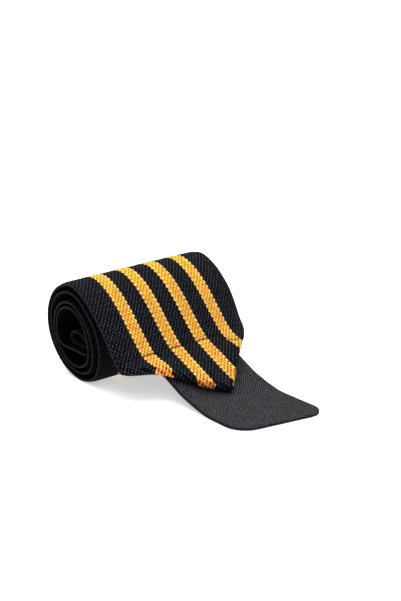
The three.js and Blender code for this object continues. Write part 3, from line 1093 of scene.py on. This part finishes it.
def tape_material():
    material, add, cloth = cloth_material("Woven nylon hook tape, dark grey")
    weave = add("TexNoise", {"Vector": cloth, "Scale": TAPE_SPECKS_PER_MM, "Detail": 3.0})
    slow = add("TexNoise", {"Vector": cloth, "Scale": TAPE_PATCHES_PER_MM, "Detail": 2.0})
    turns = 2 * math.pi / TAPE_RIB
    for x, y, strength in TAPE_WAVES:
        wave = add("VectorMath", [cloth, (turns * x, turns * y, 0)], operation="DOT_PRODUCT")
        wave = add("Math", [wave], operation="SINE")
        weave = add("Math", [wave, strength, weave], operation="MULTIPLY_ADD")
    yarn = add("ValToRGB", [weave])
    set_stops(yarn, TAPE_YARN)
    shade = add("MapRange", [slow, 0.3, 0.7, 0.85, 1.15])
    colour = add("HueSaturation", {"Value": shade, "Color": yarn})

    place = add("SeparateXYZ", [cloth]).outputs
    half = TAB_WIDTH / 2
    # Painted shade: the tape is painted darker along its cut sides and the walls of its face.
    edges = []
    for way, start, full in (("X", half - EDGE_SHADE_STARTS, half - EDGE_SHADE_FULL), ("Z", 0.95, 0.6)):
        away = add("Math", [place[way]], operation="ABSOLUTE")
        edges.append(add("MapRange", [away, start, full]))
    edge = add("Math", edges, operation="MAXIMUM")
    colour = add("Mix", [edge, colour, TAPE_EDGE_SHADE], data_type="RGBA")
    height = add("Math", [weave, TAPE_BUMP], operation="MULTIPLY")
    bump = add("Bump", {"Strength": 0.9, "Distance": MM, "Height": height})
    return finish_material(material, add, {
        "Base Color": colour, "Roughness": 0.78, "Normal": bump, "IOR": 1.53,
        "Specular IOR Level": 0.14, "Sheen Weight": 0.02, "Sheen Roughness": 0.45})


# It gives the eye a stiff, slightly rough strip, smoother and greyer than the soft band above it.
tab.data.materials.append(tape_material())

# %% [markdown]
# The thumb loop is flat woven polyester strap, with ribs across it every 0.8 mm. Sewing thread is
# glossier than the cloth because its filaments are twisted tight. Its twist is a wave along the stitch.

# %% Thumb strap: the material
STRAP_YARN = [(0.25, "#020203"), (0.85, "#111115")]
STRAP_RIB = 0.8
STRAP_RIB_STRENGTH = 0.2
STRAP_SPECKS_PER_MM = 1.5
STRAP_BUMP = 0.2


def strap_material():
    material, add, cloth = cloth_material("Woven polyester strap, charcoal")
    along = add("SeparateXYZ", [cloth]).outputs["Y"]
    ribs = add("Math", [along, 2 * math.pi / STRAP_RIB], operation="MULTIPLY")
    ribs = add("Math", [ribs], operation="SINE")
    fine = add("TexNoise", {"Vector": cloth, "Scale": STRAP_SPECKS_PER_MM, "Detail": 3.0})
    weave = add("Math", [ribs, STRAP_RIB_STRENGTH, fine], operation="MULTIPLY_ADD")
    yarn = add("ValToRGB", [weave])
    set_stops(yarn, STRAP_YARN)
    height = add("Math", [weave, STRAP_BUMP], operation="MULTIPLY")
    bump = add("Bump", {"Strength": 0.8, "Distance": MM, "Height": height})
    return finish_material(material, add, {
        "Base Color": yarn, "Roughness": 0.75, "Normal": bump, "IOR": 1.55,
        "Specular IOR Level": 0.08, "Sheen Weight": 0.015, "Sheen Roughness": 0.5})


# It gives the eye a soft dark rib that hardly parts from the shadow of the hollow.
thumb_strap.data.materials.append(strap_material())

# %% Sewing thread: the material
# Radians for each millimetre of thread, which is a turn every half millimetre.
TWIST = 12.0


def thread_material(name, dark, light):
    material, add, cloth = cloth_material(name)
    twist = add("VectorMath", [cloth, (TWIST, 0, 0)], operation="DOT_PRODUCT")
    twist = add("Math", [twist], operation="SINE")
    level = add("MapRange", [twist, -1.0, 1.0])
    colour = add("Mix", [level, linear(dark), linear(light)], data_type="RGBA")
    return finish_material(material, add, {
        "Base Color": colour, "Roughness": 0.6, "IOR": 1.55, "Specular IOR Level": 0.15})


# It gives the eye a fine dark line across the stripes, and two pale ticks at the tip.
for thread, name, dark, light in (
    (seam_thread, "Black polyester sewing thread", "#020202", "#0b0909"),
    (tip_thread, "Pale polyester sewing thread", "#b8a288", "#efe4d2"),
):
    thread.data.materials.append(thread_material(name, dark, light))

# %% [markdown]
# A product photo on white is lit so that the floor burns out to white and the object doesn't. Here the
# floor is white paper that glows a little, like a light table, and the whole sky is one pale light. Two
# suns with very wide angles stand for large softboxes. The strong one, above and a little behind the
# wrap, lights the roll's top most and leaves its end dark. The weak one lifts the tail from the front.
# The standard view shows a colour as its hex value says.

# %% Floor and lights
FLOOR_REACH = 12.0
FLOOR_BELOW = 0.2
WHITE = linear("#ffffff")
FLOOR_GLOW = 0.52
SKY_STRENGTH = 0.34
# The way towards each, its angle in degrees and its strength.
SOFTBOXES = [
    ("top softbox", (-0.30, 0.22, 0.93), 70, 3.2),
    ("front softbox", (0.40, -0.20, 0.90), 50, 0.5),
]


def add_floor():
    """A white square, a little below the wrap so that their faces never meet."""
    mesh = bpy.data.meshes.new("floor")
    corners = [(x * FLOOR_REACH, y * FLOOR_REACH, 0) for x, y in ((-1, -1), (1, -1), (1, 1), (-1, 1))]
    mesh.from_pydata(corners, [], [(0, 1, 2, 3)])
    floor = new_object("floor", mesh)
    floor.location.z = -FLOOR_BELOW * MM
    # Paper gives the eye a bright, even ground with only a faint shadow.
    material = bpy.data.materials.new("Matt white paper")
    mesh.materials.append(finish_material(material, empty_tree(material), {
        "Base Color": linear("#fafafa"), "Roughness": 0.9,
        "Emission Color": WHITE, "Emission Strength": FLOOR_GLOW}))


def add_softbox(name, towards, angle, strength):
    """A sun, which its wide angle makes soft."""
    data = bpy.data.lights.new(name, "SUN")
    data.angle = math.radians(angle)
    data.energy = strength
    new_object(name, data).rotation_euler = Vector(towards).to_track_quat("Z", "Y").to_euler()
    print(name, "has a strength of", strength)


add_floor()
sky = bpy.data.worlds.new("white studio")
add_to_sky = empty_tree(sky)
background = add_to_sky("Background", {"Color": WHITE, "Strength": SKY_STRENGTH})
add_to_sky("OutputWorld", {"Surface": background})
bpy.context.scene.world = sky
for softbox in SOFTBOXES:
    add_softbox(*softbox)
bpy.context.scene.view_settings.view_transform = "Standard"

# %% [markdown]
# Every piece rides on the wrap's one body and stands for the solid that it replaces, which is hidden.

# %% Hand the pieces to the frame
for piece, node, slot in (
    (band, "elastic_band", "striped_elastic"),
    (tab, "hook_tab", "hook_tape"),
    (thumb_strap, "thumb_loop", "loop_tape"),
):
    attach(piece, "root")
    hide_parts(node)
for thread in (seam_thread, tip_thread):
    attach(thread, "root")
